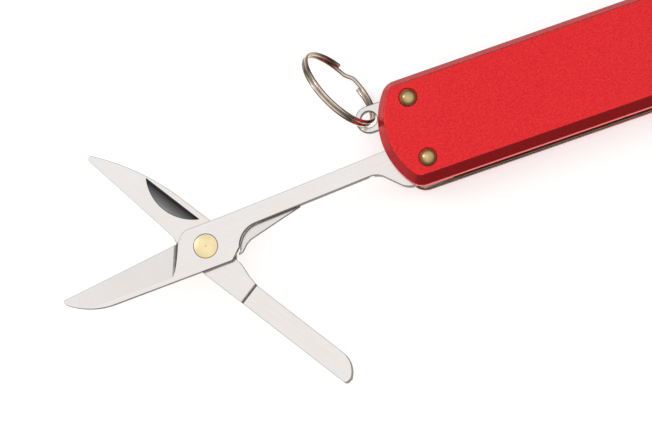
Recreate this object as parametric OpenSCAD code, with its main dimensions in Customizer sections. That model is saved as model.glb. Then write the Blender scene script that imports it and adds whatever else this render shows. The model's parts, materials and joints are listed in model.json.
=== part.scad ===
// Pocket multi tool with folding scissors, a folding knife blade and a split ring.
// X runs along the handle with the scissors at -X, Y across it, Z up out of the front scale.
// The origin is the centre of the handle's back face. The scissors stand open at rest.

/* [Handle] */
// Overall length of the handle
handle_length = 82; // [76:1:100]
// Overall width of the handle
handle_width = 18.5; // [16:0.5:23]
// Thickness of one scale
scale_thickness = 3.6; // [2.8:0.1:4.6]
// Height of the upright band under a scale's bevel
band_height = 1.2; // [0.6:0.1:1.8]
// Width of a scale's bevel, seen from the front
bevel_width = 1.33; // [0.6:0.05:1.8]
// Radius of the large arc at each end of the handle
end_radius = 13.2; // [12:0.2:18]
// Radius that joins the end arc to the straight side
corner_radius = 2.8; // [2:0.1:4]
// Thickness of one steel liner
liner_thickness = 0.45; // [0.3:0.05:0.8]

/* [Rivets] */
// Distance from the end of the handle to a rivet
rivet_inset = 6.7; // [6:0.1:9]
// Distance from the side of the handle to a rivet
rivet_edge = 3.92; // [3.4:0.05:4.6]
// Diameter of a rivet's shank
shank_d = 2.4; // [1.8:0.1:2.8]
// Diameter of a rivet's domed head
dome_d = 3; // [2.8:0.1:4.2]
// Height of a rivet's domed head
dome_height = 0.85; // [0.4:0.05:1.2]
// Depth of the round seat in a scale for a rivet's head
seat_depth = 0.2; // [0.1:0.05:0.5]

/* [Tools] */
// Thickness of the tools between the washers
tool_thickness = 2.16; // [1.6:0.02:2.8]
// Thickness of one pivot washer
washer_thickness = 0.1; // [0.05:0.01:0.2]
// Outer diameter of a pivot washer
washer_d = 7; // [5.5:0.1:8]
// Outer diameter of a pivot bush
bush_d = 3.8; // [3:0.1:4.4]
// Radius of a tool's round tang
tang_radius = 4.45; // [4:0.05:5]
// Droop of the open scissors below the handle's long axis, in degrees
droop = 1.56; // [0:0.1:4]
// Length of the scissor blades in front of their pin
blade_length = 25.9; // [18:0.1:29]
// Diameter of the scissor pin's flush heads
pin_head_d = 4.1; // [3:0.1:4.6]
// Diameter of the scissor pin's shank
pin_d = 2.6; // [2:0.1:3]
// Angle of the lever away from the arm when the scissors stand open, in degrees
open_angle = 57.8; // [30:1:65]

/* [Spring plate] */
// Half the width of the long spring bar
bar_half = 1.2; // [0.8:0.05:1.6]
// Length of the plate's anchor block at the scissors end
block_length = 17; // [14:0.5:20]
// Material between the far anchor rivet's centre and the scissors' tip
anchor_margin = 2; // [1.8:0.1:3]

/* [Key ring] */
// Width of the ring lug
lug_width = 4.6; // [4:0.1:6]
// Thickness of the ring lug
lug_thickness = 1.3; // [0.9:0.1:1.8]
// Diameter of the eye in the lug
eye_d = 2.8; // [2.4:0.1:3.6]
// Distance from the handle's end to the eye
eye_reach = 0.95; // [0.6:0.05:2]
// Outer diameter of the split ring
ring_d = 16; // [12:0.5:22]
// Diameter of the split ring's wire
ring_wire_d = 0.72; // [0.6:0.02:1]

/* [Hidden] */
$fn = 96;

// Clearances
side_clear = 0.25;   // folded tool to the spring bar
tip_clear = 0.3;     // folded tip to the block in front of it
run_clear = 0.03;    // radial running clearance on a bush or pin
face_clear = 0.02;   // between flat faces that slide on each other
tang_clear = 0.05;   // round tang to the spring plate
inner_inset = 0.35;  // spring plate inside the handle's outline
liner_inset = 0.12;  // liners inside the handle's outline
seat_clear = 0.05;   // rivet's head in its seat, radial
e = 0.01;            // overshoot of a cutting shape

// Heights
gap = tool_thickness + 2 * washer_thickness + 2 * face_clear;
back_liner_z = scale_thickness;
gap_z = back_liner_z + liner_thickness;
front_liner_z = gap_z + gap;
front_scale_z = front_liner_z + liner_thickness;
top_z = front_scale_z + scale_thickness;
tool_z = gap_z + washer_thickness + face_clear;
half_thickness = tool_thickness / 2 - face_clear / 2;
front_half_z = tool_z + tool_thickness - half_thickness;

// Handle outline
half_length = handle_length / 2;
half_width = handle_width / 2;
cap_x = half_length - end_radius;
corner_y = half_width - corner_radius;
corner_x = cap_x + sqrt(pow(end_radius - corner_radius, 2) - pow(corner_y, 2));
corner_turn = atan2(corner_y, corner_x - cap_x);

// Rivet places
rivet_x = half_length - rivet_inset;
rivet_y = half_width - rivet_edge;
scissors_pivot = [-rivet_x, -rivet_y];
lug_pivot = [-rivet_x, rivet_y];
knife_pivot = [rivet_x, rivet_y];
anchor_pivot = [rivet_x, -rivet_y];
rivet_places = [scissors_pivot, lug_pivot, knife_pivot, anchor_pivot];

// Tools: both fold beside the spring bar and stop short of an anchor block
tool_half = rivet_y - bar_half - side_clear;
anchor_x = rivet_x - anchor_margin;
scissors_reach = anchor_x - tip_clear + rivet_x;
arm_reach = scissors_reach - blade_length;
knife_reach = rivet_x + half_length - block_length - tip_clear;
finger_y = -rivet_y + tang_radius + tang_clear;

// Scissors arm, in a frame with its origin at the pivot and pointing along -X
arm_top = tool_half - 0.15;
neck_width = 3;
neck_rise = 1.3;                     // slope of the neck, degrees
neck_low = tool_half - 3.1;          // neck's lower edge at the block
recess_radius = 4.26;
recess_x = 9.3;                      // from the pin to the start of the neck's lower edge
flare_x = 10.4;                      // from the pivot to the start of the flare
flare_drop = 4.1;
flare_turn = 46;
flare_radius = 3.1;
shoulder_x = 4.25;                   // from the pin to the start of the ground blade
shoulder_slant = 21;                 // turn of the shoulder from square, degrees
edge_root = 2.14;                    // height of the cutting edge at the shoulder
grind_depth = 0.12;                  // step down from the block to the ground face
grind_slope = 5.7;                   // fall of the ground face towards its edge, degrees
tip_rise = 8.2;                      // length of the curved end of a blade's back
tip_radius = 12.5;

// Lever, in a frame with its origin at the pin and pointing along +X
lever_back = tool_half - 0.05;
lever_width = lever_back;
lever_length = arm_reach - 6.95;
step_x = 11.1;                       // from the pin to the start of the full thickness
lever_hub = [                        // hub's side, from the blade's back to the step
  [2.5, lever_back - 0.3], [4.2, 2.6], [4.9, 1.9], [5.3, 1.35], [6.1, 1.33], [7.2, 1.05],
  [8.7, 0.5], [step_x, 0]
];
moving_blade = blade_length - 0.2;
moving_shoulder_x = 7;
moving_slant = 12;
moving_slope = 6;

// Nail nick of each blade
nick_start = 4;
nick_length = 11.6;
nick_depth = 2.3;
nick_margin = 0.95;                  // from the blade's back to the nick's straight side
nick_tilt = 11;                      // slope of the nick's floor, degrees
nick_floor = 0.5;                    // depth the cutter starts at

// Scissor pin and the leaf spring's pegs
pin_head_depth = 0.4;
pin_tail_d = 1.2;
pin_tail_length = 0.6;
root_start = 17;                     // from the pin to the leaf spring's root
root_length = arm_reach - flare_x - 0.2 - root_start;
peg_d = 1.2;
peg_depth = 0.6;
peg_places = [root_start + 0.27 * root_length, root_start + 0.78 * root_length];
peg_y = neck_low + neck_width / 2 + 0.35;
leaf_outline = [                     // from under the lever's hub to the root and back
  [4.6, -3.1], [5.4, -2.95], [5.9, -2.5], [6.5, -1.9], [7.4, -1.4],
  [12.5, neck_low - 0.96], [root_start + 0.1, neck_low + 0.07],
  [root_start + 0.1, neck_low + 1.52], [12.5, neck_low + 0.82], [8.4, 1],
  [7.2, 0.5], [6.3, -0.15], [5.5, -1.3], [5.1, -2.5]
];

// Knife blade, in a frame with its origin at the pivot and pointing along -X
knife_heel = 9.5;                    // from the pivot to the start of the edge side
kick = 0.7;                          // notch between the heel and the edge
knife_flat = 3.2;                    // height left at full thickness under the back
knife_grind_start = 11.5;
knife_edge_half = 0.12;

// Spring plate
finger_slot = 0.5;                   // slots on both sides of the lug's finger
finger_top = 0.9;
slot_stop = 4;                       // from a slot's end to the end of the block

// Caps of the rivets
cap_socket_d = 1.4;
cap_depth = 1.6;

// Key ring, leaning on the surface that the tool lies on
lug_pad_radius = 2.9;
eye = [-half_length - eye_reach, rivet_y - 0.4];
eye_z = gap_z + gap / 2;
ring_heading = 116;                  // direction from the eye to the ring's centre, degrees
ring_climb = 12.4;                   // rise of that direction, degrees
ring_roll = 22;                      // turn of the ring about that direction, degrees
ring_mid_radius = ring_d / 2 - ring_wire_d / 2;
ring_offset = ring_mid_radius - 0.4; // from the eye's centre to the ring's centre

// Thumb notches over the nail nicks of the folded tools
notch_radius = 9;
notch_depth = 1.7;
scissors_notch_x = -rivet_x + arm_reach + nick_start + nick_length / 2;
knife_notch_x = rivet_x - 20.5;

// Points along an arc from angle a to angle b
function arc(c, r, a, b, n = 12) =
  [for (i = [0 : n]) c + r * [cos(a + (b - a) * i / n), sin(a + (b - a) * i / n)]];

// One corner of the handle: cut back to its rounding's centre, for the rounding to fill
module corner_wedge() {
  far = 3 * corner_radius;
  translate([corner_x, corner_y])
    polygon([[0, 0], [0, far], [far, far], far * [cos(corner_turn), sin(corner_turn)]]);
}

// Handle outline, drawn inset by a margin and extruded
module handle_slab(height, inset) {
  difference() {
    intersection() {
      translate([0, 0, height / 2])
        cube([handle_length, handle_width - 2 * inset, height], center = true);
      union() {
        translate([0, 0, height / 2]) cube([2 * cap_x, handle_width, height], center = true);
        for (s = [-1, 1])
          translate([s * cap_x, 0, 0]) cylinder(r = end_radius - inset, h = height, $fn = 240);
      }
    }
    translate([0, 0, -e])
      linear_extrude(height + 2 * e) for (sx = [-1, 1], sy = [-1, 1])
        scale([sx, sy]) corner_wedge();
  }
  for (sx = [-1, 1], sy = [-1, 1])
    translate([sx * corner_x, sy * corner_y, 0]) cylinder(r = corner_radius - inset, h = height);
}

// Bevelled part of a scale, wide face down
module bevel_slab(height) {
  far = handle_length;
  difference() {
    intersection() {
      rotate([90, 0, 90])
        linear_extrude(far, center = true)
          polygon([[-half_width, 0], [half_width, 0], [half_width - bevel_width, height],
                   [bevel_width - half_width, height]]);
      union() {
        translate([0, 0, height / 2]) cube([2 * cap_x, handle_width, height], center = true);
        for (s = [-1, 1])
          translate([s * cap_x, 0, 0])
            cylinder(r1 = end_radius, r2 = end_radius - bevel_width, h = height, $fn = 240);
      }
    }
    translate([0, 0, -e])
      linear_extrude(height + 2 * e) for (sx = [-1, 1], sy = [-1, 1])
        scale([sx, sy]) corner_wedge();
  }
  for (sx = [-1, 1], sy = [-1, 1])
    translate([sx * corner_x, sy * corner_y, 0])
      cylinder(r1 = corner_radius, r2 = corner_radius - bevel_width, h = height);
}

module thumb_notches(height) {
  off = half_width + notch_radius - notch_depth;
  translate([scissors_notch_x, -off, -e]) cylinder(r = notch_radius, h = height + 2 * e);
  translate([knife_notch_x, off, -e]) cylinder(r = notch_radius, h = height + 2 * e);
}

module rivet_holes(height) {
  for (p = rivet_places)
    translate([p[0], p[1], -e]) cylinder(d = shank_d, h = height + 2 * e);
}

module rivet_seats() {
  for (p = rivet_places)
    translate([p[0], p[1], scale_thickness - seat_depth])
      cylinder(d = dome_d + 2 * seat_clear, h = seat_depth + e);
}

// One scale, inner face down
module scale_blank() {
  difference() {
    union() {
      handle_slab(band_height, 0);
      translate([0, 0, band_height]) bevel_slab(scale_thickness - band_height);
    }
    thumb_notches(scale_thickness);
    rivet_holes(scale_thickness);
    rivet_seats();
  }
}

module liner_blank() {
  difference() {
    handle_slab(liner_thickness, liner_inset);
    thumb_notches(liner_thickness);
    rivet_holes(liner_thickness);
  }
}

module front_scale() {
  color("crimson") translate([0, 0, front_scale_z]) scale_blank();
}

module back_scale() {
  color("crimson") translate([0, 0, scale_thickness]) mirror([0, 0, 1]) scale_blank();
}

module front_liner() {
  color("silver") translate([0, 0, front_liner_z]) liner_blank();
}

module back_liner() {
  color("silver") translate([0, 0, back_liner_z]) liner_blank();
}

// Long spring bar with an anchor block at each end; the finger at -X presses the scissors' tang
module spring_plate() {
  slot_length = block_length - slot_stop;
  far = 2 * handle_width;
  color("lightsteelblue") difference() {
    intersection() {
      translate([0, 0, gap_z]) handle_slab(gap, inner_inset);
      translate([0, 0, gap_z]) linear_extrude(gap) union() {
        translate([-anchor_x, -bar_half]) square([2 * anchor_x, 2 * bar_half]);
        translate([-half_length, -bar_half]) square([block_length, far]);
        translate([anchor_x, -far]) square([half_length, far - finger_y]);
      }
    }
    translate([-half_length - e, -bar_half - e, gap_z - e])
      cube([slot_length, finger_y + bar_half + e, gap + 2 * e]);
    translate([-half_length - e, finger_top, gap_z - e])
      cube([slot_length, finger_slot, gap + 2 * e]);
    translate([lug_pivot[0], lug_pivot[1], gap_z - e])
      cylinder(r = lug_pad_radius + face_clear, h = gap + 2 * e);
    translate([-half_length - e, eye[1] - lug_width / 2 - side_clear, gap_z - e])
      cube([rivet_inset, lug_width + 2 * side_clear, gap + 2 * e]);
    translate([anchor_pivot[0], anchor_pivot[1], gap_z - e]) cylinder(d = shank_d, h = gap + 2 * e);
  }
}

// Domed head over a face at z = 0, with its rim down in the seat
module dome() {
  ball_r = (pow(dome_d / 2, 2) + pow(dome_height, 2)) / (2 * dome_height);
  intersection() {
    translate([0, 0, dome_height - ball_r]) sphere(r = ball_r);
    cylinder(d = dome_d, h = dome_height);
  }
  translate([0, 0, -seat_depth]) cylinder(d = dome_d, h = seat_depth);
}

// Each rivet is a domed pin; a domed cap with a short tail closes it on the back
module rivets() {
  color("darkgoldenrod") for (p = rivet_places)
    translate([p[0], p[1], 0]) {
      difference() {
        translate([0, 0, seat_depth]) cylinder(d = shank_d, h = top_z - seat_depth);
        cylinder(d = cap_socket_d, h = cap_depth);
      }
      translate([0, 0, top_z]) dome();
    }
}

module rivet_caps() {
  color("darkgoldenrod") for (p = rivet_places)
    translate([p[0], p[1], 0]) {
      mirror([0, 0, 1]) dome();
      cylinder(d = cap_socket_d, h = cap_depth);
    }
}

module bush(place) {
  color("peru") translate([place[0], place[1], gap_z]) difference() {
    cylinder(d = bush_d, h = gap);
    translate([0, 0, -e]) cylinder(d = shank_d, h = gap + 2 * e);
  }
}

module scissors_bush() { bush(scissors_pivot); }

module knife_bush() { bush(knife_pivot); }

module washer_pair(place) {
  color("peru") for (z = [gap_z, front_liner_z - washer_thickness])
    translate([place[0], place[1], z]) difference() {
      cylinder(d = washer_d, h = washer_thickness);
      translate([0, 0, -e]) cylinder(d = bush_d, h = washer_thickness + 2 * e);
    }
}

module scissors_washers() { washer_pair(scissors_pivot); }

module knife_washers() { washer_pair(knife_pivot); }

// Places the scissors' own frame at the lower left rivet
module at_scissors(z) {
  translate([scissors_pivot[0], scissors_pivot[1], z]) rotate([0, 0, droop]) children();
}

// Cut for a blade's ground face, to the left of a slanted shoulder through the origin. The face
// starts at a depth below z = 0 at the blade's back, and falls by slope degrees towards +Y.
module grind_cut(slant, back_y, depth, slope) {
  far = 2 * blade_length;
  intersection() {
    translate([0, back_y, -depth]) rotate([-slope, 0, 0])
      translate([-far, -far, 0]) cube([2 * far, 2 * far, 2 * tool_thickness]);
    rotate([0, 0, slant]) translate([-far, -far, -far]) cube([far, 2 * far, 2 * far]);
  }
}

// Cut for a nail nick in a face at z = 0, deepest along its straight side on y = 0
module nail_nick() {
  nick_radius = (pow(nick_length / 2, 2) + pow(nick_depth, 2)) / (2 * nick_depth);
  rotate([-nick_tilt, 0, 0]) intersection() {
    translate([0, nick_radius - nick_depth, -nick_floor])
      cylinder(r = nick_radius, h = 4 * nick_floor);
    translate([-nick_length, -2 * nick_depth, -nick_floor])
      cube([2 * nick_length, 2 * nick_depth, 4 * nick_floor]);
  }
}

// Outline of the arm: blade, block, neck and flare
module arm_outline() {
  pin = -arm_reach;
  edge_slope = atan2(edge_root + 0.1, blade_length - shoulder_x);
  neck_high = neck_low + neck_width;
  root_low = neck_low + (arm_reach - recess_x - flare_x) * tan(neck_rise);
  flare_end = flare_drop / tan(flare_turn) + 2 * flare_radius * tan(flare_turn / 2);
  polygon(concat(
    [[0, tang_radius], [-4, tang_radius]],
    [[pin + recess_x - 5.7, arm_top]],
    arc([pin - 2, arm_top - 1.9], 1.9, 90, 155, 6),
    [[pin - shoulder_x - 0.45, edge_root]],
    arc([pin - blade_length + 0.35, -0.42], 0.35, 90 - edge_slope, 205, 6),
    arc([pin - blade_length + tip_rise, tip_radius - tool_half], tip_radius, 231, 270, 10),
    arc([pin + 3.2, 0.7 - tool_half], 0.7, 270, 325, 6),
    arc([pin + recess_x, neck_low - recess_radius], recess_radius, 162, 90, 12),
    arc([-flare_x, root_low - flare_radius], flare_radius, 90, 90 - flare_turn, 8),
    arc([-flare_x + flare_end, root_low - flare_drop + flare_radius], flare_radius,
        270 - flare_turn, 270, 8),
    [[0, root_low - flare_drop]]
  ));
}

// Front half of the scissors: blade and arm, full thickness only at the tang
module scissors_arm() {
  tang_low = rivet_edge - side_clear;
  color("gainsboro") at_scissors(0) difference() {
    union() {
      translate([0, 0, front_half_z]) linear_extrude(half_thickness) arm_outline();
      translate([0, 0, tool_z]) linear_extrude(tool_thickness) {
        intersection() {
          arm_outline();
          translate([-flare_x + 0.6, -half_width]) square([flare_x, handle_width]);
        }
        intersection() {
          circle(r = tang_radius);
          translate([-tang_radius, -tang_low]) square([2 * tang_radius, 2 * tang_radius]);
        }
      }
    }
    translate([0, 0, tool_z - e]) cylinder(d = bush_d + 2 * run_clear, h = tool_thickness + 2 * e);
    translate([-arm_reach, 0, tool_z]) {
      cylinder(d = pin_d, h = tool_thickness + e);
      translate([0, 0, tool_thickness - pin_head_depth])
        cylinder(d = pin_head_d, h = pin_head_depth + e);
    }
    translate([-arm_reach - shoulder_x, edge_root, tool_z + tool_thickness])
      grind_cut(-shoulder_slant, -tool_half - edge_root, grind_depth, grind_slope);
    for (x = peg_places)
      translate([-arm_reach + x, peg_y, front_half_z - e]) cylinder(d = peg_d, h = peg_depth + e);
  }
}

// Places the lever's own frame at the scissor pin, as it stands open
module at_lever(z) {
  at_scissors(z) translate([-arm_reach, 0, 0]) rotate([0, 0, -open_angle]) children();
}

// Outline of the moving half: blade, hub and lever
module lever_outline() {
  polygon(concat(
    [[-5.5, -2.15]],
    arc([-moving_blade + 0.6, -0.2], 0.6, 250, 112, 8),
    arc([-moving_blade + 17.2, lever_back - 42], 42, 113, 90, 14),
    [[0, lever_back]], lever_hub,
    arc([lever_length - 4, -4.2], 4.2, 90, 22, 8),
    arc([lever_length - 0.75, 0.55 - lever_width], 0.55, 0, -90, 5),
    [[0, -lever_width], [-3.2, 0.5 - lever_width]]
  ));
}

// Rear half of the scissors: blade with a nail nick, hub, and a lever of full thickness
module scissors_lever() {
  color("gainsboro") at_lever(0) difference() {
    union() {
      translate([0, 0, tool_z]) linear_extrude(half_thickness) lever_outline();
      translate([0, 0, tool_z]) linear_extrude(tool_thickness) intersection() {
        lever_outline();
        translate([step_x, -handle_width]) square([lever_length, 2 * handle_width]);
      }
    }
    translate([0, 0, tool_z - e]) {
      cylinder(d = pin_d + 2 * run_clear, h = tool_thickness);
      cylinder(d = pin_head_d + 2 * run_clear, h = pin_head_depth + e);
    }
    translate([-nick_start - nick_length / 2, lever_back - nick_margin, tool_z + half_thickness])
      nail_nick();
    translate([-moving_shoulder_x, 0, tool_z])
      mirror([0, 0, 1]) mirror([0, 1, 0])
        grind_cut(-moving_slant, -tool_half, grind_depth, moving_slope);
  }
}

// Pin of the scissors: pressed in the arm, flush, with the lever turning on its shank
module scissors_pin() {
  shank_z = pin_head_depth - face_clear;
  color("palegoldenrod") at_scissors(tool_z) translate([-arm_reach, 0, 0]) difference() {
    union() {
      translate([0, 0, shank_z]) cylinder(d = pin_d, h = tool_thickness - shank_z);
      translate([0, 0, tool_thickness - pin_head_depth])
        cylinder(d = pin_head_d, h = pin_head_depth);
    }
    translate([0, 0, shank_z - e]) cylinder(d = pin_tail_d, h = pin_tail_length + e);
  }
}

// Burr that closes the pin on the back of the lever, with a tail up inside the pin
module pin_burr() {
  color("palegoldenrod") at_scissors(tool_z) translate([-arm_reach, 0, 0]) {
    cylinder(d = pin_head_d, h = pin_head_depth - face_clear);
    cylinder(d = pin_tail_d, h = pin_head_depth - face_clear + pin_tail_length);
  }
}

// Leaf spring behind the neck: a root under the arm and a leaf that reaches for the lever's hub
module scissors_spring() {
  color("silver") at_scissors(tool_z) translate([-arm_reach, 0, 0]) difference() {
    linear_extrude(half_thickness) union() {
      polygon([[root_start, neck_low + 0.25], [root_start + root_length, neck_low + 0.55],
               [root_start + root_length, neck_low + neck_width + 0.2],
               [root_start, neck_low + neck_width]]);
      polygon(leaf_outline);
    }
    for (x = peg_places)
      translate([x, peg_y, -e]) cylinder(d = peg_d, h = half_thickness + 2 * e);
  }
}

module spring_pegs() {
  color("silver") at_scissors(tool_z) for (x = peg_places)
    translate([-arm_reach + x, peg_y, 0])
      cylinder(d = peg_d, h = front_half_z - tool_z + peg_depth);
}

// Knife blade, folded into the side across from the scissors
module knife_outline() {
  polygon(concat(
    [[0, tang_radius], [-knife_heel, tool_half]],
    [[-knife_reach + 17, tool_half]],
    arc([-knife_reach + 17, tool_half - 20], 20, 90, 143, 14),
    arc([-knife_reach + 14, 9 - tool_half], 9, 226, 270, 10),
    [[-knife_heel, -tool_half], [0.5 - knife_heel, kick - tool_half],
     [1.3 - knife_heel, kick - tool_half], [1.8 - knife_heel, -tool_half],
     [-6.5, 0.2 - tool_half], [0, -3]]
  ));
}

module knife_blade() {
  far = 2 * knife_reach;
  ground_slope = atan2(tool_thickness / 2 - knife_edge_half, 2 * tool_half - knife_flat);
  color("gainsboro") translate([knife_pivot[0], knife_pivot[1], tool_z]) difference() {
    linear_extrude(tool_thickness) union() {
      knife_outline();
      intersection() {
        circle(r = tang_radius);
        translate([-tang_radius, -2 * tang_radius])
          square([2 * tang_radius, 2 * tang_radius + rivet_edge - side_clear]);
      }
    }
    translate([0, 0, -e]) cylinder(d = bush_d + 2 * run_clear, h = tool_thickness + 2 * e);
    // Ground faces, meeting in a thin edge
    for (s = [0, 1])
      translate([0, 0, s * tool_thickness]) mirror([0, 0, 1 - s])
        translate([-knife_grind_start - far, tool_half - knife_flat, 0]) mirror([0, 1, 0])
          rotate([-ground_slope, 0, 0]) cube([far, 4 * tool_half, tool_thickness]);
    translate([knife_notch_x - rivet_x, tool_half - nick_margin, tool_thickness]) nail_nick();
  }
}

// Steel lug on the upper left rivet, with the eye for the split ring
module ring_lug() {
  color("gainsboro") translate([0, 0, eye_z - lug_thickness / 2]) difference() {
    union() {
      translate([lug_pivot[0], lug_pivot[1], 0]) cylinder(r = lug_pad_radius, h = lug_thickness);
      translate([eye[0], eye[1] - lug_width / 2, 0])
        cube([lug_pivot[0] - eye[0], lug_width, lug_thickness]);
      translate([eye[0], eye[1], 0]) cylinder(d = lug_width, h = lug_thickness);
    }
    translate([lug_pivot[0], lug_pivot[1], -e]) cylinder(d = shank_d, h = lug_thickness + 2 * e);
    translate([eye[0], eye[1], -e]) cylinder(d = eye_d, h = lug_thickness + 2 * e);
  }
}

module lug_spacers() {
  spacer = (gap - lug_thickness) / 2;
  color("silver") for (z = [gap_z, front_liner_z - spacer])
    translate([lug_pivot[0], lug_pivot[1], z]) difference() {
      cylinder(r = lug_pad_radius, h = spacer);
      translate([0, 0, -e]) cylinder(d = shank_d, h = spacer + 2 * e);
    }
}

// Two turns of wire side by side
module split_ring() {
  color("silver") translate([eye[0], eye[1], eye_z])
    rotate([0, 0, ring_heading]) rotate([0, -ring_climb, 0]) rotate([90 - ring_roll, 0, 0])
      translate([ring_offset, 0, 0])
        for (s = [-1, 1])
          translate([0, 0, s * 0.45 * ring_wire_d]) rotate_extrude($fn = 120)
            translate([ring_mid_radius, 0]) circle(d = ring_wire_d, $fn = 24);
}

front_scale();
back_scale();
front_liner();
back_liner();
spring_plate();
rivets();
rivet_caps();
scissors_bush();
knife_bush();
scissors_washers();
knife_washers();
scissors_arm();
scissors_lever();
scissors_pin();
pin_burr();
scissors_spring();
spring_pegs();
knife_blade();
ring_lug();
lug_spacers();
split_ring();
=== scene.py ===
"""Pocket multi tool: bevelled red handle, folding scissors, knife blade and split key ring.

Lengths are in millimetres until mm() turns them into metres. X runs along the handle with the
scissors at -X, Y across it towards the ring lug, and Z out of the front cover.
"""
import json
import math

import bpy
from mathutils import Matrix, Vector

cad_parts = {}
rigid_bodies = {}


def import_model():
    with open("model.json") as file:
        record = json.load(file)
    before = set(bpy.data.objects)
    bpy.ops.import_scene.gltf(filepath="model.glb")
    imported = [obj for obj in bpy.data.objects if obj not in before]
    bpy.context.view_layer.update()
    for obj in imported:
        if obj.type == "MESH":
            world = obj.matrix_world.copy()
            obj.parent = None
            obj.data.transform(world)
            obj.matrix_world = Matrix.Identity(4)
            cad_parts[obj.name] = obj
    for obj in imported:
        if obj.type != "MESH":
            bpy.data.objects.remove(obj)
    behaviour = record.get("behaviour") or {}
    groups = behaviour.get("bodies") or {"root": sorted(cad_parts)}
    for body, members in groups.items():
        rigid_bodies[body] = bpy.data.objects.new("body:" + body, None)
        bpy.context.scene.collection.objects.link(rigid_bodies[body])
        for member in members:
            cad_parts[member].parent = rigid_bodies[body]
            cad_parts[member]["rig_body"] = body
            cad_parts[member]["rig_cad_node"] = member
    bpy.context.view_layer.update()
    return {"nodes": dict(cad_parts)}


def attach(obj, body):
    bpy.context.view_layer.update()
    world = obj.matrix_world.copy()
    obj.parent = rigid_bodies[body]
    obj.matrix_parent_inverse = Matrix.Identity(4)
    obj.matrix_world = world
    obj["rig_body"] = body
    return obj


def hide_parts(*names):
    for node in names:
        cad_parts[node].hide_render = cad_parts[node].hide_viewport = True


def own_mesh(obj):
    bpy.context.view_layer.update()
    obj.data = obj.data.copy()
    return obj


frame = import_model()

MM = 0.001

# Handle
TOP_Z = 10.5
HALF_LENGTH = 41
HALF_WIDTH = 9.25
END_R = 13.2
CORNER_R = 2.8
FRONT_COVER_Z = 6.9
COVER_THICKNESS = 3.6
BAND_HEIGHT = 1.2
BEVEL_HEIGHT = 2.4
BEVEL_WIDTH = 1.33
SLOPE_RISE = BEVEL_WIDTH / math.hypot(BEVEL_WIDTH, BEVEL_HEIGHT)
NOTCH_R = 9
NOTCH_DEPTH = 1.7
SCISSORS_NOTCH_X = 15.7
KNIFE_NOTCH_X = 13.8

# Rivets
RIVETS = [(-34.3, -5.33), (-34.3, 5.33), (34.3, 5.33), (34.3, -5.33)]
SHANK_R = 1.2
DOME_R = 1.5
DOME_HEIGHT = 0.85
DOME_CURVE = (DOME_R ** 2 + DOME_HEIGHT ** 2) / (2 * DOME_HEIGHT)
SEAT_DEPTH = 0.2
SEAT_GAP = 0.05
CAP_SOCKET_R = 0.7
CAP_SOCKET_DEPTH = 1.6

# Tools
TOOL_Z = 4.17
HALF_THICKNESS = 1.07
FRONT_HALF_Z = 5.26
TOOL_TOP = 6.33
DROOP = 1.56
OPEN_ANGLE = 57.8
ARM_REACH = 40.4
TOOL_HALF = 3.88
TANG_R = 4.45
TANG_BORE_R = 1.93
NECK_LOW = 0.78
NECK_WIDTH = 3.0
THIN_FROM_X = 9.8
BLADE_LENGTH = 25.9
MOVING_BLADE = 25.7
LEVER_LENGTH = 33.45
EDGE_ROOT = 2.14
SHOULDER_X = 4.25
STEP_X = 11.1
LEVER_TOP = TOOL_Z + HALF_THICKNESS

# Scissor pin
PIN_R = 1.29
PIN_HEAD_R = 2.03
PIN_HEAD_DEPTH = 0.4
BURR_R = 2.04

# Nail nicks: length and depth of the outline, slope and depth of the floor
NICK_LENGTH = 11.6
NICK_DEPTH = 2.3
NICK_TILT = 11
NICK_FLOOR = 0.5
LEVER_NICK = (-9.8, 2.88)
KNIFE_NICK = (13.8, 8.26)

# Ring
EYE = Vector((-41.95, 4.93, 5.25))
RING_CENTRE = Vector((-45.05, 11.29, 6.80))
RING_AXIS = Vector((0.868, 0.334, 0.366)).normalized()
RING_R = 7.64
WIRE_R = 0.36

# Camera
ROLL = math.radians(19.29)
LENS = 200
SENSOR = 36
VIEW_WIDTH = 108.67


def mm(*values):
    """A length or a place in metres, from millimetres."""
    if len(values) == 1:
        return values[0] * MM
    return Vector(values) * MM


def turn_z(degrees):
    return Matrix.Rotation(math.radians(degrees), 4, "Z")


# The arm's frame has its origin at the handle's lower left rivet and points along -X; the lever's
# frame has its origin at the scissor pin.
ARM_FRAME = Matrix.Translation((RIVETS[0][0], RIVETS[0][1], 0)) @ turn_z(DROOP)
PIN_FRAME = ARM_FRAME @ Matrix.Translation((-ARM_REACH, 0, 0))
LEVER_FRAME = PIN_FRAME @ turn_z(-OPEN_ANGLE)


# ---------------------------------------------------------------- modelling helpers

def let_go():
    """Back to object mode with nothing selected."""
    if bpy.context.object and bpy.context.object.mode != "OBJECT":
        bpy.ops.object.mode_set(mode="OBJECT")
    bpy.ops.object.select_all(action="DESELECT")


def pick(piece):
    """Makes the piece the only selected and the active one."""
    let_go()
    piece.select_set(True)
    bpy.context.view_layer.objects.active = piece


def apply_modifier(piece, kind, **settings):
    """Adds a modifier with the given settings and applies it."""
    pick(piece)
    modifier = piece.modifiers.new(kind.lower(), kind)
    for key, value in settings.items():
        setattr(modifier, key, value)
    bpy.ops.object.modifier_apply(modifier=modifier.name)
    let_go()


def boolean(piece, cutter, operation="DIFFERENCE"):
    """Cuts or trims the piece with a cutter, which is used up."""
    apply_modifier(piece, "BOOLEAN", object=cutter, operation=operation, solver="EXACT")
    bpy.data.objects.remove(cutter)


def face_outwards(piece):
    """Merges doubled points and turns every face out of the solid."""
    pick(piece)
    bpy.ops.object.mode_set(mode="EDIT")
    bpy.ops.mesh.select_all(action="SELECT")
    bpy.ops.mesh.remove_doubles(threshold=mm(0.002))
    bpy.ops.mesh.normals_make_consistent(inside=False)
    bpy.ops.object.mode_set(mode="OBJECT")
    if sum(face.area * face.normal.dot(face.center) for face in piece.data.polygons) < 0:
        bpy.ops.object.mode_set(mode="EDIT")
        bpy.ops.mesh.flip_normals()
    let_go()


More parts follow.
